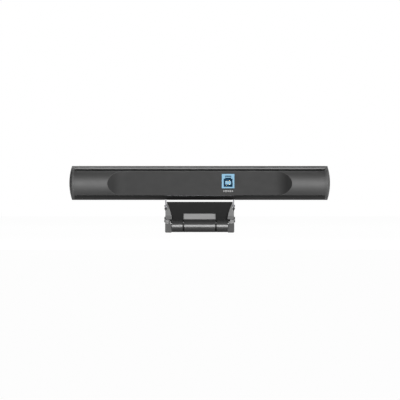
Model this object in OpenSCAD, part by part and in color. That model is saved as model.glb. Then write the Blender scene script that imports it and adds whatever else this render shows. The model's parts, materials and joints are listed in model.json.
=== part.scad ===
/* [Bar] */
// Length of the bar over its end caps
bar_l = 250; // [230:5:280]
// Radius of the rear of the tube
tube_r = 15.7; // [15.5:0.05:16]
// Rise of the front housing above the tube
brow_h = 1.2; // [1:0.1:1.4]
// Wall of the housings
wall = 2; // [1.8:0.1:2.2]
// Thickness of an end cap with its dome
cap_t = 5; // [4.6:0.1:6]
// Half length of the flat of the rear recess
flat_half = 71; // [66:1:76]
// Half length of the rear recess with its ramps
recess_half = 88.6; // [86:0.2:94]
// Distance from the tube's axis to the flat
flat_y = 10.2; // [10:0.1:10.6]
/* [Socket] */
// Distance of the socket from the middle of the bar
socket_x = 27.2; // [24:0.2:34]
// Width of the socket's blue frame
socket_w = 12.1; // [11.8:0.1:12.4]
// Height of the socket's blue frame
socket_h = 13.7; // [13.4:0.1:14]
/* [Lens] */
// Radius of the lens barrel
barrel_r = 6; // [5.6:0.1:6.2]
// Radius of the ring around the lens
ring_r = 6.9; // [6.8:0.1:7]
/* [Neck] */
// Half width of the neck over its cheeks
neck_half = 32.9; // [32.9:0.1:33.1]
// Gap between the bar and the neck's rim
rim_gap = 1.75; // [1.5:0.05:2]
// Radius of the tilt screw's shank
tilt_r = 1.6; // [1.4:0.1:1.8]
/* [Clip] */
// Radius of the barrel hinge
knuckle_r = 5.75; // [5.6:0.05:5.9]
// Half length of the middle knuckle
knuckle_half = 15.3; // [14:0.1:16]
// Reach of the clip base in front of the bar's axis
base_front = 31.5; // [30:0.5:36]
// Radius of the tripod thread
tripod_r = 3.175; // [3.1:0.025:3.3]
/* [Hidden] */
$fn = 64;
// Overrun of every cut past the face that it opens
cut = 0.5;
// Running clearance round a pin
run = 0.05;
// Gap between parts that pass each other
gap = 0.3;
// Clearance of a part that drops into its seat
fit = 0.1;
// Visible seam between the housings
seam = 0.4;

// Housing section, seen along the bar
housing_r = tube_r + brow_h / 2;
housing_up = brow_h / 2;
bore_r = tube_r - wall;
split_top = 12.3;
split_bottom = -11.4;
brow_y = 7.1;
brow_chamfer = 1.2;
front_y = 13.6;
front_wall = 2.2;
inner_front = front_y - front_wall;
floor_rise = 3.7;
floor_z = floor_rise - tube_r;
cover_wall = 1.8;
inner_rear = flat_y - cover_wall;
body_half = bar_l / 2 - cap_t;
end_web = 4;
pocket_land = 3;
pocket_start = recess_half + pocket_land;

// Ramp at each end of the recess
ramp_angle = 26;
ramp_depth = tube_r - flat_y;
ramp_run = recess_half - flat_half;
ramp_straight = (ramp_depth - ramp_run * tan(ramp_angle / 2))
    / (tan(ramp_angle) - tan(ramp_angle / 2));
ramp_bend = ramp_run - ramp_straight;
ramp_r = ramp_bend / sin(ramp_angle);

// End cap
cap_crown = 2.6;
cap_spigot = 2;
cap_spigot_wall = 1.2;

// Front window
window_half = 100;
window_h = 15;
window_t = 1.2;
window_r = 3;

// Heights of the axes below the tube's axis
rim_z = -tube_r - rim_gap;
tilt_drop = 5.25;
tilt_z = rim_z - tilt_drop;
pin_drop = 11.9;
pin_z = tilt_z - pin_drop;
knuckle_drop = 6.1;
knuckle_z = pin_z - knuckle_drop;
knuckle_y = 9.6;
foot_t = 0.5;
sole_z = knuckle_z - knuckle_r;
feet_z = sole_z - foot_t;

// Where the tube's axis lies in the object's frame
bar_z = -feet_z;
bar_y = (base_front - housing_r) / 2;

// Boards
board_t = 1.2;
board_half = 96;
board_y = -3.65;
board_h = 19.6;
board_post_r = 2.6;
board_screw_r = 0.9;
board_screw_head_r = 1.7;
board_screw_head_t = 1;
board_screw_x = [-88, -44, 44, 88];
board_screw_z = 6;

// Tilt bracket
lug_t = 1.2;
lug_r = 3.4;
lug_proud = 0.2;
lug_x = neck_half - lug_t + lug_proud;
bracket_t = 1.2;
bracket_half_y = 5;
bracket_screw_x = [-24, -8, 8, 24];
bracket_screw_r = 1;
bracket_screw_l = 2.6;
bracket_head_r = 1.9;
bracket_head_t = 0.9;

// Socket
socket_z = 2.35;
socket_proud = 0.15;
socket_rim = 1;
opening_w = 8.45;
opening_h = 7.8;
opening_z = -1.6;
step_w = 5.7;
step_h = 2.9;
opening_depth = 9.5;
tongue_w = 5.6;
tongue_h = 3.2;
tongue_back = 1;
top_tongue_h = 1;
contact_w = 0.4;
contact_t = 0.15;
contact_l = 6;
contact_pitch = 1.25;

// Lens stack, from the front
lens_z = housing_up;
ring_proud = 0.6;
ring_bore_r = 5.2;
ring_back = front_y - window_t;
barrel_front = ring_back - fit;
sensor_board_y = -6.4;
sensor_board_t = 1;
sensor_board_w = 22;
sensor_board_h = 17;
sensor_w = 8;
sensor_h = 6;
sensor_t = 0.9;
holder_w = 14.5;
holder_front = 11;
sensor_face = -sensor_board_y + sensor_board_t + sensor_t;
filter_t = 0.4;
barrel_room = 0.5;
barrel_back = sensor_face + barrel_room;
lens_r = 4.4;
front_lens_t = 1.6;
rear_lens_t = 0.8;
lens_dome = 0.5;

// Processor, pad and spreader behind the main board
processor_x = 22;
processor_w = 14;
processor_t = 1.1;
pad_t = 0.7;
spreader_w = 40;
spreader_h = 17;
spreader_t = 1.5;
spreader_fin_t = 1;
spreader_fin_h = 4;
spreader_fin_pitch = 5;

// Microphones and lamp
mic_x = [-84, -42, 42, 84];
mic_w = 3.8;
mic_h = 3;
mic_t = 1.1;
gasket_w = 5;
mic_hole_r = 0.7;
lamp_x = 14.5;
lamp_w = 1.6;
lamp_t = 0.8;
pipe_r = 1;

// Neck
neck_front = 4.1;
neck_wall = 1.6;
rim_half = 4.1;
rim_t = 0.75;
plate_foot_y = -0.4;
plate_foot_z = pin_z + fit;
wall_foot_drop = 1.9;
wall_foot_z = pin_z - wall_foot_drop;
plate_t = 1.8;
cheek_rear = 6.2;
cheek_shoulder_drop = 1.3;
cheek_shoulder_z = tilt_z - cheek_shoulder_drop;
cheek_wall_top = 1.1;
cheek_wall_bottom = 6.4;
cheek_in_top = neck_half - cheek_wall_top;
cheek_in_bottom = neck_half - cheek_wall_bottom;
cheek_steps = 8;
cheek_power = 1.5;
washer_t = 0.2;
side_in = lug_x - run - washer_t;
side_step_z = tilt_z - lug_r - fit;
tongue_in = cheek_in_bottom - fit;
tongue_step = 4.9;
tongue_out = neck_half - tongue_step;
tongue_r = 3.4;
ear_r = 3.5;
ear_sweep = 2;
hollow_wall = 1.5;
hollow_half = cheek_in_bottom - hollow_wall;
slot_half = knuckle_half + fit;
slot_h = 5.8;
slot_top = plate_foot_z + slot_h;
tilt_screw_l = 5;
tilt_head_r = 2.2;
tilt_head_t = 0.6;
tilt_slot_w = 0.9;
tilt_slot_d = 0.35;
washer_r = 3;

// Clip base
arm_w = 6.4;
arm_proud = 0.2;
arm_out = neck_half + arm_proud;
arm_in = arm_out - arm_w;
ear_in = tongue_out + gap;
arm_top = pin_z - ear_r - gap;
heel_slant = 2.3;
jaw_t = 1.7;
jaw_rise = 0.4;
jaw_z = knuckle_z + jaw_rise;
lip_t = 2;
pin_r = 1.6;
pin_cap_r = 2.65;
pin_cap_t = 0.8;
pin_in = tongue_in + fit;
knuckle_gap = 0.5;
leg_pin_r = 1.5;
leg_pin_short = 3.1;
leg_pin_half = arm_out - leg_pin_short;
pad_thick = 0.5;
pad_inset = 2.4;
foot_l = 8;
foot_edge = 0.5;
foot_w = arm_w - 2 * foot_edge;
foot_front_y = -23;
foot_rear_y = 5;

// Leg
leg_t = 2.7;
leg_side_gap = 1.7;
leg_half = arm_in - leg_side_gap;
finger_gap = 2.3;
leg_end = base_front - lip_t - finger_gap;
leg_z = jaw_z - jaw_t - pad_thick - gap - pad_thick;
leg_root_gap = 0.6;
leg_start = knuckle_y - knuckle_r - leg_root_gap;
tripod_y = -12;
tripod_out_r = 4.6;
tripod_boss_r = 6;
tripod_drop = 0.7;
tripod_top = jaw_z - tripod_drop;
tripod_room = 0.6;
tripod_clear_r = tripod_boss_r + tripod_room;

// Everything is drawn about the tube's axis and set on its feet here
module place() {
    translate([0, bar_y, bar_z]) children();
}

// A section drawn in depth and height, run along the bar between two places
module along_bar(from, to) {
    translate([from, 0, 0]) rotate([90, 0, 90]) linear_extrude(height = to - from) children();
}

// The same run on both sides of the middle
module both_sides(from, to) {
    along_bar(from, to) children();
    along_bar(-to, -from) children();
}

// An outline drawn in width and height, run from front to rear
module through(front, rear) {
    translate([0, rear, 0]) rotate([90, 0, 0]) linear_extrude(height = rear - front) children();
}

// A round bar pointing front to rear
module rod_y(r, front, rear) {
    translate([0, rear, 0]) rotate([90, 0, 0]) cylinder(r = r, h = rear - front);
}

// A round bar along the length
module rod_x(r, from, to) {
    translate([from, 0, 0]) rotate([0, 90, 0]) cylinder(r = r, h = to - from);
}

// A block given by its lowest and highest corners
module block(low, high) {
    translate(low) cube(high - low);
}

module mirrored() {
    children();
    mirror([1, 0, 0]) children();
}

// A half plane in depth and height, kept as a large square
module keep(y_low, y_high, z_low, z_high) {
    translate([y_low, z_low]) square([y_high - y_low, z_high - z_low]);
}

module cavity(clear) {
    intersection() {
        circle(bore_r - clear);
        keep(-inner_front + clear, inner_rear - clear, floor_z + clear, tube_r);
    }
}

module housing_section() {
    difference() {
        translate([0, housing_up]) circle(housing_r);
        intersection() {
            circle(bore_r);
            keep(-inner_front, tube_r, floor_z, tube_r);
        }
        keep(0, 2 * tube_r, split_bottom - seam, split_top + seam);
        keep(brow_y, 2 * tube_r, split_top, 2 * tube_r);
        keep(-2 * tube_r, -front_y, -tube_r, 2 * tube_r);
        polygon([[brow_y - brow_chamfer, split_top + seam - cut], [brow_y + cut, split_top],
            [brow_y + cut, split_top + seam + brow_chamfer + cut],
            [brow_y - brow_chamfer, split_top + seam]]);
    }
}

module rounded_rect(w, h, r) {
    square([w, h - 2 * r], center = true);
    square([w - 2 * r, h], center = true);
    for (x = [-1, 1], z = [-1, 1]) translate([x * (w / 2 - r), z * (h / 2 - r)]) circle(r);
}

module window_outline(clear) {
    translate([0, housing_up])
        rounded_rect(2 * window_half + 2 * clear, window_h + 2 * clear, window_r);
}

module main_housing() {
    color("#2b2c2e") place() difference() {
        union() {
            along_bar(-body_half, body_half) housing_section();
            for (x = board_screw_x, z = [-1, 1])
                translate([x, 0, z * board_screw_z])
                    rod_y(board_post_r, -inner_front - fit, board_y - board_t);
        }
        through(-front_y - cut, -front_y + window_t) window_outline(fit);
        translate([0, 0, lens_z]) rod_y(ring_r + fit, -front_y - cut, -inner_front + cut);
        for (x = board_screw_x, z = [-1, 1])
            translate([x, 0, z * board_screw_z])
                rod_y(board_screw_r, board_y - board_t - wall, board_y);
        for (x = mic_x) translate([x, 0, 0]) rod_y(mic_hole_r, -front_y - cut, -inner_front + cut);
        translate([lamp_x, 0, 0]) rod_y(pipe_r + run, -front_y - cut, -inner_front + cut);
        mirrored() block([lug_x - gap, -lug_r - gap, -tube_r - cut],
            [lug_x + lug_t + gap, lug_r + gap, floor_z + cut]);
        for (x = bracket_screw_x) translate([x, 0, floor_z - bracket_screw_l])
            cylinder(r = bracket_screw_r, h = bracket_screw_l + cut);
    }
}

// The space milled out of the rear: a flat that bends up into a straight ramp at each end
module recess_outline() {
    top_y = flat_y + ramp_depth + wall;
    bend_x = flat_half + ramp_bend;
    bend_y = flat_y + ramp_r * (1 - cos(ramp_angle));
    end_x = recess_half + wall / tan(ramp_angle);
    polygon([[-flat_half, flat_y], [flat_half, flat_y], [bend_x, bend_y], [end_x, top_y],
        [-end_x, top_y], [-bend_x, bend_y]]);
    for (side = [-1, 1]) intersection() {
        translate([side * flat_half, flat_y + ramp_r]) circle(ramp_r, $fn = 180);
        polygon([[side * flat_half, flat_y], [side * bend_x, flat_y - cut],
            [side * bend_x, bend_y], [side * flat_half, flat_y + cut]]);
    }
}

module rear_cover() {
    color("#55565a") place() difference() {
        along_bar(-body_half, body_half) difference() {
            intersection() {
                circle(tube_r);
                keep(0, tube_r, split_bottom, split_top);
            }
            intersection() {
                circle(bore_r);
                keep(-cut, inner_rear, -tube_r, tube_r);
            }
        }
        translate([0, 0, -tube_r]) linear_extrude(height = 2 * tube_r) recess_outline();
        both_sides(pocket_start, body_half - end_web) intersection() {
            circle(bore_r);
            keep(-cut, tube_r, split_bottom + wall, split_top - wall);
        }
        translate([-socket_x, 0, socket_z]) block([-socket_w / 2 - fit, 0, -socket_h / 2 - fit],
            [socket_w / 2 + fit, tube_r, socket_h / 2 + fit]);
    }
}

module cap_profile() {
    crown_r = (pow(housing_r, 2) + pow(cap_crown, 2)) / (2 * cap_crown);
    intersection() {
        square([housing_r, 2 * cap_t]);
        translate([0, cap_t - crown_r]) circle(crown_r, $fn = 240);
    }
}

module end_cap() {
    translate([body_half, 0, housing_up]) rotate([0, 90, 0])
        rotate_extrude($fn = 96) cap_profile();
    along_bar(body_half - cap_spigot, body_half + fit) difference() {
        cavity(fit);
        circle(bore_r - cap_spigot_wall - wall);
    }
}

module end_cap_left() {
    color("#4b4c50") place() mirror([1, 0, 0]) end_cap();
}

module end_cap_right() {
    color("#4b4c50") place() end_cap();
}

module front_window() {
    color("#0b0c0e") place() difference() {
        through(-front_y, -front_y + window_t) window_outline(0);
        translate([0, 0, lens_z]) rod_y(ring_r + fit, -front_y - cut, -front_y + window_t + cut);
        for (x = mic_x) translate([x, 0, 0])
            rod_y(mic_hole_r, -front_y - cut, -front_y + window_t + cut);
        translate([lamp_x, 0, 0]) rod_y(pipe_r + run, -front_y - cut, -front_y + window_t + cut);
    }
}

module at_lens() {
    place() translate([0, 0, lens_z]) children();
}

module lens_ring() {
    color("#8f9296") at_lens() difference() {
        rod_y(ring_r, -front_y - ring_proud, -inner_front);
        rod_y(ring_bore_r, -front_y - ring_proud - cut, -ring_back + fit);
        rod_y(barrel_r + fit, -ring_back, -inner_front + cut);
        translate([0, -front_y - ring_proud, 0]) rotate([-90, 0, 0])
            cylinder(r1 = ring_r - ring_proud, r2 = ring_bore_r, h = ring_proud + ring_proud);
    }
}

module lens_barrel() {
    color("#1a1b1c") at_lens() difference() {
        rod_y(barrel_r, -barrel_front, -barrel_back);
        rod_y(lens_r - ring_proud, -barrel_front - cut, -barrel_back + cut);
        rod_y(lens_r, -barrel_front - cut, -barrel_front + front_lens_t);
        rod_y(lens_r, -barrel_back - rear_lens_t, -barrel_back + cut);
    }
}

module front_lens() {
    color("#3c4a5e") at_lens() {
        rod_y(lens_r, -barrel_front + lens_dome, -barrel_front + front_lens_t);
        dome_r = (pow(lens_r, 2) + pow(lens_dome, 2)) / (2 * lens_dome);
        intersection() {
            rod_y(lens_r, -barrel_front - cut, -barrel_front + front_lens_t);
            translate([0, dome_r - barrel_front, 0]) sphere(dome_r, $fn = 120);
        }
    }
}

module rear_lens() {
    color("#3c4a5e") at_lens() rod_y(lens_r, -barrel_back - rear_lens_t, -barrel_back);
}

module infrared_filter() {
    color("#7c3f4a") at_lens() block([-sensor_w / 2, -sensor_face - filter_t, -sensor_h / 2],
        [sensor_w / 2, -sensor_face, sensor_h / 2]);
}

module lens_holder() {
    color("#202124") at_lens() difference() {
        block([-holder_w / 2, -holder_front, -holder_w / 2],
            [holder_w / 2, sensor_board_y - sensor_board_t, holder_w / 2]);
        rod_y(barrel_r, -holder_front - cut, -barrel_back);
        block([-sensor_w / 2 - fit, -barrel_back - fit, -sensor_h / 2 - fit],
            [sensor_w / 2 + fit, 0, sensor_h / 2 + fit]);
    }
}

module image_sensor() {
    color("#5b5f66") at_lens() block([-sensor_w / 2, -sensor_face, -sensor_h / 2],
        [sensor_w / 2, sensor_board_y - sensor_board_t, sensor_h / 2]);
}

module sensor_board() {
    color("#1f5a3c") at_lens() block([-sensor_board_w / 2, sensor_board_y - sensor_board_t,
        -sensor_board_h / 2], [sensor_board_w / 2, sensor_board_y, sensor_board_h / 2]);
}

module board_connector() {
    color("#d8d3c4") at_lens() block([-sensor_w, sensor_board_y, -sensor_h / 2],
        [sensor_w, board_y - board_t, sensor_h / 2]);
}

module main_board() {
    color("#1f5a3c") place() difference() {
        block([-board_half, board_y - board_t, -board_h / 2], [board_half, board_y, board_h / 2]);
        for (x = board_screw_x, z = [-1, 1]) translate([x, 0, z * board_screw_z])
            rod_y(board_screw_r, board_y - board_t - cut, board_y + cut);
    }
}

module processor() {
    color("#26282b") place() block([processor_x - processor_w / 2, board_y, -processor_w / 2],
        [processor_x + processor_w / 2, board_y + processor_t, processor_w / 2]);
}

module thermal_pad() {
    color("#9aa3ad") place() block([processor_x - processor_w / 2, board_y + processor_t,
        -processor_w / 2], [processor_x + processor_w / 2, board_y + processor_t + pad_t,
        processor_w / 2]);
}

module heat_spreader() {
    spreader_y = board_y + processor_t + pad_t;
    color("#b3b6ba") place() {
        block([processor_x - spreader_w / 2, spreader_y, -spreader_h / 2],
            [processor_x + spreader_w / 2, spreader_y + spreader_t, spreader_h / 2]);
        for (x = [-spreader_w / 2 : spreader_fin_pitch : spreader_w / 2 - spreader_fin_t])
            translate([processor_x + x, spreader_y, 0]) block([0, 0, -spreader_h / 2],
                [spreader_fin_t, spreader_t + spreader_fin_h, spreader_h / 2]);
    }
}

module at_socket() {
    place() translate([-socket_x, flat_y + socket_proud, socket_z]) children();
}

// The opening of the socket: a square port with a narrower step above it
module socket_opening() {
    translate([-opening_w / 2, opening_z - opening_h / 2]) square([opening_w, opening_h]);
    translate([-step_w / 2, opening_z + opening_h / 2 - fit]) square([step_w, step_h + fit]);
}

module socket_shell() {
    shell_back = board_y - flat_y - socket_proud;
    color("#c9ccd0") at_socket() difference() {
        block([-socket_w / 2, shell_back, -socket_h / 2], [socket_w / 2, -socket_rim,
            socket_h / 2]);
        block([-socket_w / 2 + gap, shell_back + socket_rim, -socket_h / 2 + gap],
            [socket_w / 2 - gap, cut, socket_h / 2 - gap]);
    }
}

module socket_insert() {
    shell_back = board_y - flat_y - socket_proud;
    step_z = opening_z + opening_h / 2 + step_h / 2;
    color("#5fa8d8") at_socket() {
        difference() {
            union() {
                block([-socket_w / 2, -socket_rim, -socket_h / 2], [socket_w / 2, 0,
                    socket_h / 2]);
                block([-socket_w / 2 + gap, shell_back + socket_rim, -socket_h / 2 + gap],
                    [socket_w / 2 - gap, -socket_rim + fit, socket_h / 2 - gap]);
            }
            through(-opening_depth, cut) socket_opening();
        }
        block([-tongue_w / 2, -opening_depth - fit, opening_z - tongue_h / 2],
            [tongue_w / 2, -tongue_back, opening_z + tongue_h / 2]);
        block([-step_w / 2 + gap, -opening_depth - fit, step_z - top_tongue_h / 2],
            [step_w / 2 - gap, -tongue_back, step_z + top_tongue_h / 2]);
    }
}

module socket_contacts() {
    color("#d9b45a") at_socket() for (side = [-1, 1], i = [-1, 1])
        translate([i * contact_pitch, 0, opening_z + side * (tongue_h / 2 + contact_t / 2)])
            block([-contact_w / 2, -tongue_back - contact_l, -contact_t / 2],
                [contact_w / 2, -tongue_back - contact_w, contact_t / 2]);
}

module microphones() {
    color("#b9bcc0") place() for (x = mic_x) translate([x, 0, 0])
        block([-mic_w / 2, board_y - board_t - mic_t, -mic_h / 2],
            [mic_w / 2, board_y - board_t, mic_h / 2]);
}

module microphone_gaskets() {
    color("#151515") place() for (x = mic_x) translate([x, 0, 0]) difference() {
        block([-gasket_w / 2, -inner_front, -gasket_w / 2],
            [gasket_w / 2, board_y - board_t - mic_t, gasket_w / 2]);
        rod_y(mic_hole_r, -inner_front - cut, board_y - board_t - mic_t + cut);
    }
}

module status_lamp() {
    color("#e8f4ff") place() translate([lamp_x, 0, 0])
        block([-lamp_w / 2, board_y - board_t - lamp_t, -lamp_w / 2],
            [lamp_w / 2, board_y - board_t, lamp_w / 2]);
}

module light_pipe() {
    color("#f2f6f8") place() translate([lamp_x, 0, 0]) {
        rod_y(pipe_r, -front_y, board_y - board_t - lamp_t);
    }
}

module tilt_bracket() {
    color("#3a3b3e") place() difference() {
        union() {
            block([-lug_x - lug_t, -bracket_half_y, floor_z],
                [lug_x + lug_t, bracket_half_y, floor_z + bracket_t]);
            mirrored() {
                block([lug_x, -lug_r, tilt_z], [lug_x + lug_t, lug_r, floor_z + bracket_t]);
                translate([0, 0, tilt_z]) rod_x(lug_r, lug_x, lug_x + lug_t);
            }
        }
        mirrored() translate([0, 0, tilt_z]) rod_x(tilt_r + run, lug_x - cut, lug_x + lug_t + cut);
        for (x = bracket_screw_x) translate([x, 0, floor_z - cut])
            cylinder(r = bracket_screw_r, h = bracket_t + 2 * cut);
    }
}

module bracket_screws() {
    color("#9b9da1") place() for (x = bracket_screw_x) translate([x, 0, 0]) {
        translate([0, 0, floor_z - bracket_screw_l])
            cylinder(r = bracket_screw_r, h = bracket_screw_l + bracket_t);
        translate([0, 0, floor_z + bracket_t]) cylinder(r = bracket_head_r, h = bracket_head_t);
    }
}

module board_screws() {
    color("#9b9da1") place() for (x = board_screw_x, z = [-1, 1])
        translate([x, 0, z * board_screw_z]) {
            rod_y(board_screw_r, board_y - board_t - wall, board_y);
            rod_y(board_screw_head_r, board_y, board_y + board_screw_head_t);
        }
}

// Side outline of the neck's core: upright front wall and plate sloping down to the front
module core_outline() {
    polygon([[-neck_front, rim_z], [rim_half, rim_z], [rim_half, rim_z - rim_t],
        [plate_foot_y, plate_foot_z], [-neck_front + neck_wall, plate_foot_z],
        [-neck_front + neck_wall, wall_foot_z], [-neck_front, wall_foot_z]]);
}

module core_hollow() {
    polygon([[-neck_front + neck_wall, rim_z - neck_wall],
        [rim_half - plate_t, rim_z - neck_wall],
        [plate_foot_y - plate_t, plate_foot_z - cut],
        [-neck_front + neck_wall, plate_foot_z - cut]]);
}

// Side outline of a cheek, with its rear edge behind the plate
module cheek_outline() {
    polygon([[-neck_front, rim_z], [rim_half, rim_z], [cheek_rear, cheek_shoulder_z],
        [cheek_rear, pin_z + ear_r + gap], [rim_half, pin_z], [-neck_front, pin_z]]);
}

// The hollow between the cheeks, narrowing on a curve from the rim to the hinge
function cheek_x(share) =
    cheek_in_bottom + (cheek_in_top - cheek_in_bottom) * pow(1 - share, cheek_power);

module between_cheeks() {
    drop = rim_z - plate_foot_z;
    edge = [for (i = [0 : cheek_steps]) [cheek_x(i / cheek_steps), rim_z - drop * i / cheek_steps]];
    polygon(concat([[0, rim_z + cut], [cheek_in_top, rim_z + cut]], edge,
        [[cheek_in_bottom, wall_foot_z - wall], [0, wall_foot_z - wall]]));
}

module neck_side() {
    difference() {
        union() {
            along_bar(tongue_in, side_in) cheek_outline();
            along_bar(side_in - fit, neck_half) intersection() {
                cheek_outline();
                keep(-cheek_rear, cheek_rear, wall_foot_z, side_step_z);
            }
            translate([0, 0, pin_z]) rod_x(tongue_r, tongue_in, tongue_out);
        }
        difference() {
            through(-neck_front, cheek_rear + cut) between_cheeks();
            along_bar(-neck_half, neck_half) core_outline();
            translate([0, 0, pin_z]) rod_x(tongue_r, tongue_in - cut, tongue_out);
        }
        translate([0, 0, pin_z]) rod_x(ear_r + gap, tongue_out, neck_half + cut);
        block([tongue_out, -cheek_rear, wall_foot_z], [neck_half + cut, cheek_rear + cut, pin_z]);
        block([tongue_out, -cheek_rear, wall_foot_z], [neck_half + cut, 0, pin_z + ear_sweep]);
    }
}

module neck_yoke() {
    color("#303133") place() difference() {
        union() {
            along_bar(-tongue_in - fit, tongue_in + fit) core_outline();
            mirrored() neck_side();
        }
        along_bar(-hollow_half, hollow_half) core_hollow();
        block([-slot_half, -neck_front + neck_wall, plate_foot_z - cut],
            [slot_half, cheek_rear, slot_top]);
        mirrored() {
            translate([0, 0, tilt_z]) rod_x(tilt_r, side_in - tilt_screw_l, neck_half + cut);
            translate([0, 0, pin_z]) rod_x(pin_r + run, tongue_in - cut, tongue_out + cut);
        }
    }
}

module tilt_screws() {
    color("#6d6f73") place() mirrored() translate([0, 0, tilt_z]) difference() {
        union() {
            rod_x(tilt_r, side_in - tilt_screw_l, lug_x + lug_t + run);
            rod_x(tilt_head_r, lug_x + lug_t + run, lug_x + lug_t + run + tilt_head_t);
        }
        block([lug_x + lug_t + run + tilt_head_t - tilt_slot_d, -tilt_head_r, -tilt_slot_w / 2],
            [neck_half + wall, tilt_head_r, tilt_slot_w / 2]);
    }
}

module tilt_washers() {
    color("#a9abae") place() mirrored() translate([0, 0, tilt_z]) difference() {
        rod_x(washer_r, side_in, lug_x - run);
        rod_x(tilt_r, side_in - cut, lug_x + cut);
    }
}

module knuckle_disc(clear) {
    translate([knuckle_y, knuckle_z]) circle(knuckle_r + clear);
}

module base_side() {
    heel_y = knuckle_y + knuckle_r;
    translate([0, 0, sole_z]) linear_extrude(height = arm_top - sole_z)
        polygon([[arm_in, -base_front], [arm_out, -base_front], [arm_out, heel_y],
            [arm_in, heel_y - heel_slant]]);
    along_bar(ear_in, arm_out) {
        translate([0, pin_z]) circle(ear_r);
        keep(-ear_r, ear_r, arm_top - fit, pin_z);
    }
    along_bar(knuckle_half + knuckle_gap, arm_in + fit) {
        knuckle_disc(0);
        keep(0, knuckle_y, jaw_z - jaw_t, jaw_z);
    }
}

module base_frame() {
    color("#3c3d40") place() difference() {
        union() {
            mirrored() base_side();
            along_bar(-arm_in - fit, arm_in + fit) {
                keep(-base_front, leg_start, jaw_z - jaw_t, jaw_z);
                keep(-base_front, -base_front + lip_t, sole_z, jaw_z);
            }
        }
        mirrored() translate([0, 0, pin_z]) rod_x(pin_r, ear_in - cut, arm_out + cut);
        translate([0, knuckle_y, knuckle_z]) rod_x(leg_pin_r, -leg_pin_half, leg_pin_half);
        translate([0, tripod_y, jaw_z - wall])
            cylinder(r = tripod_clear_r, h = wall + cut);
    }
}

module neck_pins() {
    color("#58595c") place() mirrored() translate([0, 0, pin_z]) {
        rod_x(pin_r, pin_in, arm_out);
        rod_x(pin_cap_r, arm_out, arm_out + pin_cap_t);
    }
}

module leg_hinge_pin() {
    color("#b5b7ba") place() translate([0, knuckle_y, knuckle_z])
        rod_x(leg_pin_r, -leg_pin_half, leg_pin_half);
}

module pad_shape(rear, thick) {
    difference() {
        block([-leg_half + pad_inset, -leg_end + pad_inset, 0],
            [leg_half - pad_inset, rear - pad_inset, thick]);
        translate([0, tripod_y, -cut]) cylinder(r = tripod_clear_r, h = thick + 2 * cut);
    }
}

module base_pad() {
    color("#1b1b1b") place() translate([0, 0, jaw_z - jaw_t - pad_thick])
        pad_shape(leg_start, pad_thick);
}

module base_feet() {
    color("#1b1b1b") place() mirrored() for (y = [foot_front_y, foot_rear_y])
        translate([(arm_in + arm_out) / 2, y, feet_z])
            block([-foot_w / 2, -foot_l / 2, 0], [foot_w / 2, foot_l / 2, foot_t]);
}

module leg() {
    color("#3c3d40") place() difference() {
        union() {
            block([-leg_half, -leg_end, leg_z - leg_t], [leg_half, leg_start, leg_z]);
            along_bar(-knuckle_half, knuckle_half) {
                knuckle_disc(0);
                keep(0, knuckle_y, leg_z - leg_t, leg_z);
            }
            translate([0, tripod_y, leg_z - leg_t])
                cylinder(r = tripod_boss_r, h = tripod_top - leg_z + leg_t);
        }
        translate([0, knuckle_y, knuckle_z]) rod_x(leg_pin_r + run, -knuckle_half - cut,
            knuckle_half + cut);
        translate([0, tripod_y, leg_z - leg_t - cut])
            cylinder(r = tripod_out_r, h = tripod_top - leg_z + leg_t + 2 * cut);
    }
}

module leg_pad() {
    color("#1b1b1b") place() translate([0, 0, leg_z]) pad_shape(leg_start, pad_thick);
}

module tripod_insert() {
    color("#c8a24a") place() translate([0, tripod_y, leg_z - leg_t]) difference() {
        cylinder(r = tripod_out_r, h = tripod_top - leg_z + leg_t);
        translate([0, 0, -cut]) cylinder(r = tripod_r, h = tripod_top - leg_z + leg_t + 2 * cut);
    }
}

module leg_washers() {
    color("#101010") place() translate([0, knuckle_y, knuckle_z]) mirrored() difference() {
        rod_x(washer_r, knuckle_half + run, knuckle_half + knuckle_gap);
        rod_x(leg_pin_r, knuckle_half - cut, knuckle_half + 2 * knuckle_gap);
    }
}

main_housing();
rear_cover();
end_cap_left();
end_cap_right();
front_window();
lens_ring();
lens_barrel();
front_lens();
rear_lens();
infrared_filter();
lens_holder();
image_sensor();
sensor_board();
board_connector();
main_board();
processor();
thermal_pad();
heat_spreader();
socket_shell();
socket_insert();
socket_contacts();
microphones();
microphone_gaskets();
status_lamp();
light_pipe();
tilt_bracket();
bracket_screws();
board_screws();
neck_yoke();
tilt_screws();
tilt_washers();
base_frame();
neck_pins();
leg_hinge_pin();
base_pad();
base_feet();
leg();
leg_pad();
tripod_insert();
leg_washers();
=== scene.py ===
import json
import math

import bmesh
import bpy
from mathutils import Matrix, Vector

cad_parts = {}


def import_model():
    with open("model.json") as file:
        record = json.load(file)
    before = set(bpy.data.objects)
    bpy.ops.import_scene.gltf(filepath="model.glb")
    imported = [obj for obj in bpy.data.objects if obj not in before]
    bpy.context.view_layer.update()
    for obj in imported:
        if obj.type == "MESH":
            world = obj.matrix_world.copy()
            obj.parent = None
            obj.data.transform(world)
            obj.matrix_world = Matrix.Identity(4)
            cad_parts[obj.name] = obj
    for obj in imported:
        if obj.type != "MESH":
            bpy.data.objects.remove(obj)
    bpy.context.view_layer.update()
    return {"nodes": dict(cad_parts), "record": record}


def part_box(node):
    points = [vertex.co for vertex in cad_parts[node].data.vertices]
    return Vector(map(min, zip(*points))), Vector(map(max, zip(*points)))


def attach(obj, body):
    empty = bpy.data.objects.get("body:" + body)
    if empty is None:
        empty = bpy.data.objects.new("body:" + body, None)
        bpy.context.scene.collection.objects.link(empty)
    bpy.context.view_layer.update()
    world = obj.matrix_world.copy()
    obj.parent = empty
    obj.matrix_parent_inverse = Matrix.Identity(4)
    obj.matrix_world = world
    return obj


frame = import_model()
nodes = frame["nodes"]

MM = 0.001

# The photograph: its frame, and where the bar's middle lies in it
IMAGE_PX = 400
MM_PER_PX = 0.959
BAR_PX_X = 199.7
BAR_PX_Y = 183.6
CAMERA_DISTANCE = 6.0
SENSOR_WIDTH = 36.0
VIEW_REACH = 100.0

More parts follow.
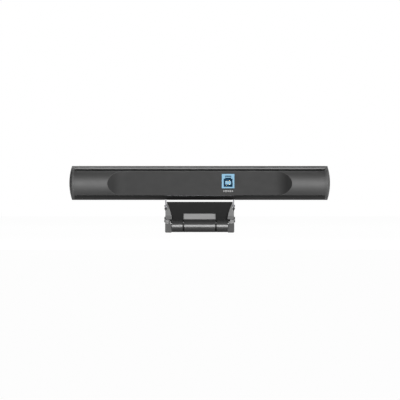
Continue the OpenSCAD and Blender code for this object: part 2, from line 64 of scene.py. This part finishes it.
# Tones of the plastics, the rubber and the castings, as linear values; some are painted light or
# painted shade
COVER_TONE = 0.014
RECESS_TONE = 0.003
HOUSING_TONE = 0.008
# Painted highlight on the cut rear face of the brow
BROW_HIGHLIGHT_TONE = 0.1
# End caps' grey, made lighter than the cover's partly as painted light on their rims
CAP_GREY_AND_PAINTED_LIGHT_TONE = 0.05
DARK_TONE = 0.01
RUBBER_TONE = 0.012
CHIP_TONE = 0.02
WINDOW_TONE = 0.006
CAST_TONE = 0.025
# Painted light on the clip's arms
ARM_PAINTED_LIGHT_TONE = 0.07
# Painted shade in the hinge gaps and along the curved line over each ear
GAP_PAINTED_SHADE_TONE = 0.003
# Neck casting's dark grey, darkened further as painted shade on the plate under the bar
NECK_DARK_AND_SHADE_TONE = 0.006
# Painted light on the neck's cheeks
CHEEK_PAINTED_LIGHT_TONE = 0.13
# Painted light on the wall seen through the window
WALL_PAINTED_LIGHT_TONE = 0.2
MARK_TONE = 0.2
# Black of the hinge shims, which also stands in for shade in the hinge gaps
SHIM_AND_GAP_SHADE_TONE = 0.006
CAST_TINT = 0.02

# Roughness and shine of the surfaces that the photograph shows
COVER_ROUGH = 0.66
COVER_SHINE = 1.0
RECESS_SHINE = 0.43
CAST_SHINE = 0.8
ARM_SHINE = 0.3
# Share of shine kept where painted shade lies
PAINTED_SHADE_SHINE_SHARE = 0.1
PALE_SHINE = 0.3
# Shine kept in the painted shade of the socket opening
SHADED_SHINE = 0.03

# Colours
SOCKET_BLUE = (0.1, 0.25, 0.37, 1.0)
# Painted shade deep in the socket opening
SOCKET_SHADED_BLUE = (0.003, 0.03, 0.065, 1.0)
BOARD_GREEN = (0.012, 0.075, 0.035, 1.0)
CONNECTOR_CREAM = (0.6, 0.57, 0.45, 1.0)
THERMAL_GREY = (0.25, 0.3, 0.36, 1.0)
LAMP_WHITE = (0.7, 0.75, 0.8, 1.0)
LIGHT_PIPE_CLEAR = (0.6, 0.66, 0.7, 1.0)
FRONT_GLASS = (0.01, 0.012, 0.03, 1.0)
REAR_GLASS = (0.02, 0.02, 0.03, 1.0)
FILTER_RED = (0.12, 0.02, 0.03, 1.0)
COATING_BLUE = (0.55, 0.6, 1.0, 1.0)
STEEL = (0.55, 0.55, 0.57, 1.0)
BLACK_STEEL = (0.05, 0.05, 0.053, 1.0)
PIN_STEEL = (0.07, 0.07, 0.073, 1.0)
RING_GREY = (0.16, 0.16, 0.17, 1.0)
ALUMINIUM = (0.6, 0.6, 0.62, 1.0)
PLATED = (0.6, 0.61, 0.63, 1.0)
GOLD = (0.8, 0.55, 0.2, 1.0)
BRASS = (0.62, 0.42, 0.16, 1.0)

# Noise that breaks up a surface: repeats in a metre, and layers of detail
DRIFT_SCALE = 45.0
DRIFT_DETAIL = 3.0
POLISH_SCALE = 180.0
POLISH_DETAIL = 4.0
POLISH_SPREAD = 0.04
SPECKLE_SPREAD = 0.07
LINE_SCALE = 900.0
LINE_STRETCH = (1.0, 30.0, 1.0)
HAZE_SCALE = 60.0
FLOOR_SCALE = 3.0

# Light that the surroundings give, and the floor: its share of plain white, side and tones
WORLD_LIGHT = 0.07
FLOOR_WHITE_SHARE = 0.98
FLOOR_SIZE = 12.0
FLOOR_DARK = 0.84
FLOOR_PALE = 0.86

# Lamps: place and size in metres, power in watts
LAMPS = {
    "rear_softbox": {"place": (-0.2, 2.0, 0.0), "size": (1.3, 0.6), "power": 116.0},
    "side_softbox": {"place": (-2.2, -0.1, 0.4), "size": (0.8, 0.8), "power": 40.0},
    "front_softbox": {"place": (0.5, -1.3, 1.6), "size": (1.4, 1.0), "power": 20.0},
    "top_softbox": {"place": (0.0, -0.3, 2.2), "size": (1.6, 1.0), "power": 2.5},
}

# Places taken from the frame
joint_at = {joint["name"]: Vector(joint["pos_m"]) for joint in frame["record"]["behaviour"]["joints"]}
cover_low, cover_high = (Vector(corner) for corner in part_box("rear_cover"))
cap_low, cap_high = (Vector(corner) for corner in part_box("end_cap_right"))
socket_low, socket_high = (Vector(corner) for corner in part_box("socket_insert"))
bar_y = joint_at["bar_tilt"].y
tube_r = cover_high.y - bar_y
bar_z = cap_low.z + tube_r
socket_proud = 0.15 * MM
recess_y = socket_high.y - socket_proud


def mesh_object(name, build):
    """A mesh object whose geometry the given function adds to an empty bmesh."""
    mesh = bpy.data.meshes.new(name)
    bm = bmesh.new()
    build(bm)
    bmesh.ops.recalc_face_normals(bm, faces=bm.faces)
    bm.to_mesh(mesh)
    bm.free()
    obj = bpy.data.objects.new(name, mesh)
    bpy.context.scene.collection.objects.link(obj)
    return obj


def paint(obj, material):
    """Gives the whole object one material."""
    obj.data.materials.clear()
    obj.data.materials.append(material)


def grey(value, tint=0.0):
    """A near-neutral colour, a little bluer as tint rises."""
    return (value, value, value * (1 + tint), 1.0)


def scaled(colour, factor):
    return (colour[0] * factor, colour[1] * factor, colour[2] * factor, 1.0)


class Shader:
    """A node material with one Principled shader, and short ways to add to it."""

    def __init__(self, name):
        self.material = bpy.data.materials.new(name)
        self.material.use_nodes = True
        self.tree = self.material.node_tree
        self.bsdf = self.tree.nodes["Principled BSDF"]
        self.coord = self.add("ShaderNodeTexCoord")

    def add(self, kind, **settings):
        node = self.tree.nodes.new(kind)
        for key, value in settings.items():
            setattr(node, key, value)
        return node

    def link(self, source, target):
        self.tree.links.new(source, target)

    def set(self, **values):
        """Sets inputs of the Principled shader to plain values."""
        for key, value in values.items():
            self.bsdf.inputs[key.replace("_", " ")].default_value = value

    def drive(self, **sources):
        """Links outputs of other nodes to inputs of the Principled shader."""
        for key, source in sources.items():
            self.link(source, self.bsdf.inputs[key.replace("_", " ")])

    def maths(self, operation, source, *others):
        """A maths node: its first input is linked, the others are linked or set to numbers."""
        node = self.add("ShaderNodeMath", operation=operation)
        self.link(source, node.inputs[0])
        for target, other in zip(node.inputs[1:], others):
            if isinstance(other, float):
                target.default_value = other
            else:
                self.link(other, target)
        return node.outputs["Value"]

    def above(self, source, limit):
        """A mask that is 1 where the source is greater than the limit."""
        return self.maths("GREATER_THAN", source, limit)

    def near(self, source, middle, reach):
        """A mask that is 1 where the source is within reach of the middle."""
        return self.maths("COMPARE", source, middle, reach)

    def both(self, first, second):
        return self.maths("MULTIPLY", first, second)

    def either(self, first, second):
        return self.maths("MAXIMUM", first, second)

    def place(self):
        """The coordinates of the shaded point, as three outputs."""
        split = self.add("ShaderNodeSeparateXYZ")
        self.link(self.coord.outputs["Object"], split.inputs["Vector"])
        return split.outputs

    def distance(self, first, second):
        """Distance from an axis, out of two coordinates measured from it."""
        pair = self.add("ShaderNodeCombineXYZ")
        self.link(first, pair.inputs["X"])
        self.link(second, pair.inputs["Y"])
        length = self.add("ShaderNodeVectorMath", operation="LENGTH")
        self.link(pair.outputs["Vector"], length.inputs[0])
        return length.outputs["Value"]

    def noise(self, scale, detail=2.0, stretch=None):
        texture = self.add("ShaderNodeTexNoise")
        texture.inputs["Scale"].default_value = scale
        texture.inputs["Detail"].default_value = detail
        source = self.coord.outputs["Object"]
        if stretch:
            mapping = self.add("ShaderNodeMapping")
            mapping.inputs["Scale"].default_value = stretch
            self.link(source, mapping.inputs["Vector"])
            source = mapping.outputs["Vector"]
        self.link(source, texture.inputs["Vector"])
        return texture.outputs["Fac"]

    def ramp(self, source, low, high, start=0.3, end=0.7):
        node = self.add("ShaderNodeValToRGB")
        node.color_ramp.elements[0].position = start
        node.color_ramp.elements[0].color = low
        node.color_ramp.elements[1].position = end
        node.color_ramp.elements[1].color = high
        self.link(source, node.inputs["Fac"])
        return node.outputs["Color"]

    def drifting(self, source, colour, down, up):
        """A colour that the source moves between two shares below and above it."""
        return self.ramp(source, scaled(colour, 1 - down), scaled(colour, 1 + up))

    def speckled(self, tone):
        """A grey that drifts a little over the surface."""
        drift = self.noise(DRIFT_SCALE, DRIFT_DETAIL)
        return self.drifting(drift, grey(tone), SPECKLE_SPREAD, SPECKLE_SPREAD)

    def span(self, source, low, high):
        node = self.add("ShaderNodeMapRange")
        node.inputs["To Min"].default_value = low
        node.inputs["To Max"].default_value = high
        self.link(source, node.inputs["Value"])
        return node.outputs["Result"]

    def blend(self, mask, off, on):
        node = self.add("ShaderNodeMix", data_type="RGBA")
        self.link(mask, node.inputs["Factor"])
        self.link(off, node.inputs["A"])
        self.link(on, node.inputs["B"])
        return node.outputs["Result"]

    def relief(self, height, depth, edge_radius):
        """Fine relief on the surface, over edges that look rounded."""
        bevel = self.add("ShaderNodeBevel", samples=4)
        bevel.inputs["Radius"].default_value = edge_radius
        bump = self.add("ShaderNodeBump")
        bump.inputs["Distance"].default_value = depth
        self.link(height, bump.inputs["Height"])
        self.link(bevel.outputs["Normal"], bump.inputs["Normal"])
        self.link(bump.outputs["Normal"], self.bsdf.inputs["Normal"])


def moulded(name, colour, roughness=0.5, spread=0.06, grain=2600.0, depth=0.012 * MM,
            edge=0.15 * MM, specular=0.5):
    """Moulded plastic: a fine spark-eroded grain with slight drifts of tone and polish."""
    shader = Shader(name)
    drift = shader.noise(DRIFT_SCALE, DRIFT_DETAIL)
    polish = shader.noise(POLISH_SCALE, POLISH_DETAIL)
    shader.drive(Base_Color=shader.drifting(drift, colour, spread, spread),
                 Roughness=shader.span(polish, roughness - POLISH_SPREAD, roughness + POLISH_SPREAD))
    shader.set(Specular_IOR_Level=specular)
    shader.relief(shader.noise(grain, detail=1.0), depth, edge)
    return shader


def cast(name, tone, roughness, specular=0.5):
    """Painted die casting: coarser than moulded plastic, with softer edges."""
    return moulded(name, grey(tone, CAST_TINT), roughness, spread=0.08, grain=1500.0,
                   depth=0.02 * MM, edge=0.2 * MM, specular=specular)


def turned(name, colour, roughness=0.3, smoother=0.06, rougher=0.08):
    """Metal with the fine lines that a tool or a brush leaves."""
    shader = Shader(name)
    lines = shader.noise(LINE_SCALE, detail=3.0, stretch=LINE_STRETCH)
    shader.drive(Base_Color=shader.drifting(lines, colour, down=0.12, up=0.08),
                 Roughness=shader.span(lines, roughness - smoother, roughness + rougher))
    shader.set(Metallic=1.0)
    shader.relief(lines, depth=0.004 * MM, edge_radius=0.08 * MM)
    return shader


def glass(name, colour):
    """Dark lens glass under a coating that reflects bluish."""
    shader = Shader(name)
    haze = shader.noise(HAZE_SCALE)
    shader.drive(Base_Color=shader.drifting(haze, colour, down=0.1, up=0.1))
    shader.set(Roughness=0.03, Specular_IOR_Level=0.8, Coat_Weight=0.6, Coat_Roughness=0.02,
               Coat_Tint=COATING_BLUE)
    return shader


def cover_material():
    """The rear cover: grained tube, with the milled recess in a darker tone."""
    recess_reach = tube_r - 0.12 * MM
    shader = moulded("rear_cover_plastic", grey(COVER_TONE), COVER_ROUGH)
    place = shader.place()
    radius = shader.distance(shader.maths("SUBTRACT", place["Y"], bar_y),
                             shader.maths("SUBTRACT", place["Z"], bar_z))
    inside = shader.maths("LESS_THAN", radius, recess_reach)
    tone = shader.blend(inside, shader.speckled(COVER_TONE), shader.speckled(RECESS_TONE))
    shader.drive(Base_Color=tone,
                 Specular_IOR_Level=shader.span(inside, COVER_SHINE, RECESS_SHINE))
    return shader.material


def housing_material():
    """Front housing: dull dark grain, with a painted highlight: the cut rear face of its brow a shade
    lighter.
    """
    brow_front = bar_y + 7.0 * MM
    brow_foot = bar_z + 13.6 * MM
    shader = moulded("housing_plastic", grey(HOUSING_TONE), roughness=0.55, specular=0.3)
    place = shader.place()
    # Painted highlight: the brow's rear face gets a lighter grey
    face = shader.both(shader.above(place["Y"], brow_front), shader.above(place["Z"], brow_foot))
    shader.drive(Base_Color=shader.blend(face, shader.speckled(HOUSING_TONE),
                                         shader.speckled(BROW_HIGHLIGHT_TONE)))
    return shader.material


def socket_material():
    """Blue insert: pale frame and tongues, and deep blue as painted shade down in the opening."""
    face_depth = 0.12 * MM
    tongue_depth = 1.0 * MM
    tongue_margin = 0.08 * MM
    shader = moulded("socket_blue", SOCKET_BLUE, roughness=0.45, spread=0.05, grain=1600.0)
    depth = shader.place()["Y"]
    pale = shader.either(shader.above(depth, socket_high.y - face_depth),
                         shader.near(depth, socket_high.y - tongue_depth, tongue_margin))
    drift = shader.noise(POLISH_SCALE, DRIFT_DETAIL)
    # Painted shade: deep blue down in the opening, away from the face and tongues
    shaded_blue = shader.drifting(drift, SOCKET_SHADED_BLUE, down=0.1, up=0.1)
    pale_blue = shader.drifting(drift, SOCKET_BLUE, down=0.05, up=0.05)
    shader.drive(Base_Color=shader.blend(pale, shaded_blue, pale_blue),
                 Specular_IOR_Level=shader.span(pale, SHADED_SHINE, PALE_SHINE))
    return shader.material


def neck_material():
    """The neck's casting: dark plate, darkened further as painted shade under the bar, cheeks painted
    lighter as lit, and painted light on the wall behind the window.
    """
    cheek_front = bar_y + 4.3 * MM
    wall_face = bar_y - 2.5 * MM
    wall_margin = 0.2 * MM
    wall_foot = joint_at["neck_lean"].z + 0.4 * MM
    shader = cast("neck_cast", NECK_DARK_AND_SHADE_TONE, roughness=0.6, specular=0.2)
    place = shader.place()
    # Painted light: the wall behind the window gets a pale grey
    wall = shader.both(shader.near(place["Y"], wall_face, wall_margin),
                       shader.above(place["Z"], wall_foot))
    tone = shader.blend(wall, shader.speckled(NECK_DARK_AND_SHADE_TONE), shader.speckled(WALL_PAINTED_LIGHT_TONE))
    # Painted light: the cheeks get a lighter grey than the plate
    tone = shader.blend(shader.above(place["Y"], cheek_front), tone,
                        shader.speckled(CHEEK_PAINTED_LIGHT_TONE))
    shader.drive(Base_Color=tone)
    return shader.material


def hinge_material():
    """The clip's casting: shiny barrel with painted shade at the knuckle ends by the gaps, arms
    painted lighter as lit, and a painted shadow line curved over each ear.
    """
    arm_in = 26.75 * MM
    barrel_end = 15.55 * MM
    end_margin = 0.75 * MM
    barrel_front = joint_at["leg_swing"].y - 3.0 * MM
    ear_x = 31.0 * MM
    ear_foot_drop = 3.9 * MM
    arch_r = 2.35 * MM
    arch_margin = 0.35 * MM
    pin_z = joint_at["neck_lean"].z
    shader = cast("cast_dark_grey", CAST_TONE, roughness=0.4)
    place = shader.place()
    across = shader.maths("ABSOLUTE", place["X"])
    # Painted light: the arms get a lighter grey than the barrel
    arm_painted_light_mask = shader.above(across, arm_in)
    # Painted shade: knuckle ends beside the hinge gaps
    ends = shader.both(shader.near(across, barrel_end, end_margin),
                       shader.above(place["Y"], barrel_front))
    upward = shader.maths("MAXIMUM", shader.maths("SUBTRACT", place["Z"], pin_z), 0.0)
    from_arch = shader.distance(shader.maths("SUBTRACT", across, ear_x), upward)
    # Painted shadow line curved over each ear
    arch_shadow = shader.both(shader.near(from_arch, arch_r, arch_margin),
                       shader.above(place["Z"], pin_z - ear_foot_drop))
    # Painted shade: knuckle ends and the curved line over each ear
    dark = shader.either(ends, arch_shadow)
    tone = shader.blend(arm_painted_light_mask, shader.speckled(CAST_TONE), shader.speckled(ARM_PAINTED_LIGHT_TONE))
    shine = shader.span(arm_painted_light_mask, CAST_SHINE, ARM_SHINE)
    shade_dulled = shader.span(dark, 1.0, PAINTED_SHADE_SHINE_SHARE)
    shader.drive(Base_Color=shader.blend(dark, tone, shader.speckled(GAP_PAINTED_SHADE_TONE)),
                 Specular_IOR_Level=shader.maths("MULTIPLY", shine, shade_dulled))
    return shader.material


def dress_nodes():
    """Every carried-over node gets its finish."""
    # The caps' lighter grey is partly painted light
    cap = moulded("end_cap_plastic", grey(CAP_GREY_AND_PAINTED_LIGHT_TONE), roughness=0.6, specular=0.4).material
    dark = moulded("dark_plastic", grey(DARK_TONE), roughness=0.6).material
    hinge = hinge_material()
    rubber = moulded("black_rubber", grey(RUBBER_TONE), roughness=0.8, spread=0.1,
                     grain=1200.0, depth=0.03 * MM).material
    board = moulded("board_green", BOARD_GREEN, roughness=0.35, spread=0.12,
                    grain=700.0).material
    chip = moulded("chip_black", grey(CHIP_TONE), roughness=0.4).material
    window = moulded("window_gloss_black", grey(WINDOW_TONE), roughness=0.08, spread=0.1,
                     grain=400.0, depth=0.0008 * MM, edge=0.1 * MM).material
    connector = moulded("connector_cream", CONNECTOR_CREAM).material
    steel = turned("plain_steel", STEEL).material
    black_steel = turned("black_steel", BLACK_STEEL, roughness=0.42).material
    finishes = {
        "main_housing": housing_material(),
        "rear_cover": cover_material(),
        "end_cap_left": cap,
        "end_cap_right": cap,
        "front_window": window,
        "lens_ring": turned("ring_anodised", RING_GREY, roughness=0.28).material,
        "lens_barrel": dark,
        "lens_holder": dark,
        "leg_washers": dark,
        "front_lens": glass("front_lens_glass", FRONT_GLASS).material,
        "rear_lens": glass("rear_lens_glass", REAR_GLASS).material,
        "infrared_filter": glass("filter_glass", FILTER_RED).material,
        "image_sensor": chip,
        "processor": chip,
        "sensor_board": board,
        "main_board": board,
        "board_connector": connector,
        "thermal_pad": moulded("thermal_pad_grey", THERMAL_GREY, roughness=0.8).material,
        "heat_spreader": turned("spreader_aluminium", ALUMINIUM).material,
        "socket_shell": turned("shell_plated", PLATED, roughness=0.25).material,
        "socket_insert": socket_material(),
        "socket_contacts": turned("contacts_gold", GOLD, roughness=0.25).material,
        "microphones": steel,
        "microphone_gaskets": rubber,
        "status_lamp": moulded("lamp_white", LAMP_WHITE, roughness=0.3).material,
        "light_pipe": moulded("light_pipe_clear", LIGHT_PIPE_CLEAR, roughness=0.15).material,
        "tilt_bracket": black_steel,
        "bracket_screws": steel,
        "board_screws": steel,
        "neck_yoke": neck_material(),
        "tilt_screws": black_steel,
        "tilt_washers": steel,
        "base_frame": hinge,
        "neck_pins": turned("pin_black_steel", PIN_STEEL, roughness=0.38).material,
        "leg_hinge_pin": steel,
        "base_pad": rubber,
        "base_feet": rubber,
        "leg": hinge,
        "leg_pad": rubber,
        "tripod_insert": turned("insert_brass", BRASS).material,
    }
    for name, material in finishes.items():
        paint(nodes[name], material)


def rounded_bar(bm, centre, size, depth, corner):
    """A flat bar with round corners, standing on the face it marks."""
    steps = 5
    ring = []
    for sx, sz, start in ((1, 1, 0), (-1, 1, 90), (-1, -1, 180), (1, -1, 270)):
        for step in range(steps + 1):
            angle = math.radians(start + 90 * step / steps)
            x = sx * (size[0] / 2 - corner) + corner * math.cos(angle)
            z = sz * (size[1] / 2 - corner) + corner * math.sin(angle)
            ring.append((centre[0] + x, centre[1], centre[2] + z))
    back = [bm.verts.new(point) for point in ring]
    front = [bm.verts.new((x, y + depth, z)) for x, y, z in ring]
    bm.faces.new(back)
    bm.faces.new(reversed(front))
    for i, vert in enumerate(back):
        j = (i + 1) % len(back)
        bm.faces.new((vert, back[j], front[j], front[i]))


def socket_marks():
    """Plain pale bars under the socket, where the photograph has print."""
    count = 5
    pitch = 2.0 * MM
    mark_w = 1.3 * MM
    tall_h = 2.0 * MM
    short_h = 1.5 * MM
    corner = 0.2 * MM
    drop = 2.7 * MM
    sunk = 0.05 * MM
    middle_x = (socket_low.x + socket_high.x) / 2
    middle_z = socket_low.z - drop

    def build(bm):
        for i in range(count):
            x = middle_x + (i - (count - 1) / 2) * pitch
            mark_h = tall_h if i % 2 else short_h
            rounded_bar(bm, (x, recess_y - sunk, middle_z), (mark_w, mark_h), 2 * sunk, corner)

    piece = mesh_object("socket_marks", build)
    paint(piece, moulded("mark_ink", grey(MARK_TONE), roughness=0.6, spread=0.08).material)
    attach(piece, "bar")


def disc(bm, centre, radius, bore, thickness):
    """A flat ring whose axis runs along the bar."""
    steps = 48
    turns = [math.tau * i / steps for i in range(steps)]
    loops = []
    for x, r in ((0, bore), (0, radius), (thickness, radius), (thickness, bore)):
        points = [Vector((x, r * math.cos(turn), r * math.sin(turn))) for turn in turns]
        loops.append([bm.verts.new(Vector(centre) + point) for point in points])
    for k, loop in enumerate(loops):
        after = loops[(k + 1) % len(loops)]
        for i in range(steps):
            j = (i + 1) % steps
            bm.faces.new((loop[i], loop[j], after[j], after[i]))


def hinge_shims():
    """Black friction shims that fill the two gaps of the barrel hinge; their black also stands in for
    the shade in those gaps.
    """
    hinge = joint_at["leg_swing"]
    washer_low, washer_high = (Vector(corner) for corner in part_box("leg_washers"))
    shim_t = 0.3 * MM
    shim_r = 5.4 * MM
    shim_bore = 3.1 * MM
    shim_inset = 0.1 * MM
    shim_out = washer_high.x - shim_inset

    def build(bm):
        for start in (shim_out - shim_t, -shim_out):
            disc(bm, (start, hinge.y, hinge.z), shim_r, shim_bore, shim_t)

    piece = mesh_object("hinge_shims", build)
    paint(piece, moulded("shim_black_and_gap_shade", grey(SHIM_AND_GAP_SHADE_TONE), roughness=0.6).material)
    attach(piece, "clip_base")


def floor_and_backdrop():
    """A white floor that shows the camera only a trace of the object's shadow."""

    def build(bm):
        half = FLOOR_SIZE / 2
        bm.faces.new([bm.verts.new((x * half, y * half, 0.0))
                      for x, y in ((-1, -1), (1, -1), (1, 1), (-1, 1))])

    floor = mesh_object("floor", build)
    shader = Shader("floor_white")
    shader.drive(Base_Color=shader.ramp(shader.noise(FLOOR_SCALE), grey(FLOOR_DARK),
                                        grey(FLOOR_PALE)))
    shader.set(Roughness=0.9, Specular_IOR_Level=0.1)
    glow = shader.add("ShaderNodeEmission")
    path = shader.add("ShaderNodeLightPath")
    mix = shader.add("ShaderNodeMixShader")
    share = shader.maths("MULTIPLY", path.outputs["Is Camera Ray"], FLOOR_WHITE_SHARE)
    shader.link(share, mix.inputs["Fac"])
    shader.link(shader.bsdf.outputs["BSDF"], mix.inputs[1])
    shader.link(glow.outputs["Emission"], mix.inputs[2])
    shader.link(mix.outputs["Shader"], shader.tree.nodes["Material Output"].inputs["Surface"])
    paint(floor, shader.material)


def world():
    """Soft grey light on the object, and plain white to the camera and through glass."""
    sky = bpy.data.worlds.new("studio")
    sky.use_nodes = True
    bpy.context.scene.world = sky
    tree = sky.node_tree
    background = tree.nodes["Background"]
    background.inputs["Color"].default_value = grey(1.0)
    path = tree.nodes.new("ShaderNodeLightPath")
    seen = tree.nodes.new("ShaderNodeMath")
    seen.operation = "MAXIMUM"
    tree.links.new(path.outputs["Is Camera Ray"], seen.inputs[0])
    tree.links.new(path.outputs["Is Transmission Ray"], seen.inputs[1])
    strength = tree.nodes.new("ShaderNodeMapRange")
    strength.inputs["To Min"].default_value = WORLD_LIGHT
    strength.inputs["To Max"].default_value = 1.0
    tree.links.new(seen.outputs["Value"], strength.inputs["Value"])
    tree.links.new(strength.outputs["Result"], background.inputs["Strength"])


def lamps():
    """Area lamps, all turned to the middle of the bar."""
    aim = Vector((0.0, bar_y, bar_z))
    for name, lamp in LAMPS.items():
        data = bpy.data.lights.new(name, "AREA")
        data.shape = "RECTANGLE"
        data.size, data.size_y = lamp["size"]
        data.energy = lamp["power"]
        obj = bpy.data.objects.new(name, data)
        bpy.context.scene.collection.objects.link(obj)
        obj.location = lamp["place"]
        obj.rotation_euler = (aim - Vector(lamp["place"])).to_track_quat("-Z", "Y").to_euler()


def camera():
    """Level, square from behind, with the photograph's frame."""
    data = bpy.data.cameras.new("camera")
    cam = bpy.data.objects.new("camera", data)
    bpy.context.scene.collection.objects.link(cam)
    bpy.context.scene.camera = cam
    half_px = IMAGE_PX / 2
    x = -(half_px - BAR_PX_X) * MM_PER_PX * MM
    z = bar_z - (half_px - BAR_PX_Y) * MM_PER_PX * MM
    cam.location = (x, bar_y + CAMERA_DISTANCE, z)
    cam.rotation_euler = (math.radians(90), 0.0, math.radians(180))
    data.sensor_width = SENSOR_WIDTH
    data.lens = SENSOR_WIDTH * CAMERA_DISTANCE / (IMAGE_PX * MM_PER_PX * MM)
    data.clip_end = VIEW_REACH


camera()
world()
lamps()
floor_and_backdrop()
dress_nodes()
socket_marks()
hinge_shims()

bpy.context.scene.view_settings.view_transform = "Standard"
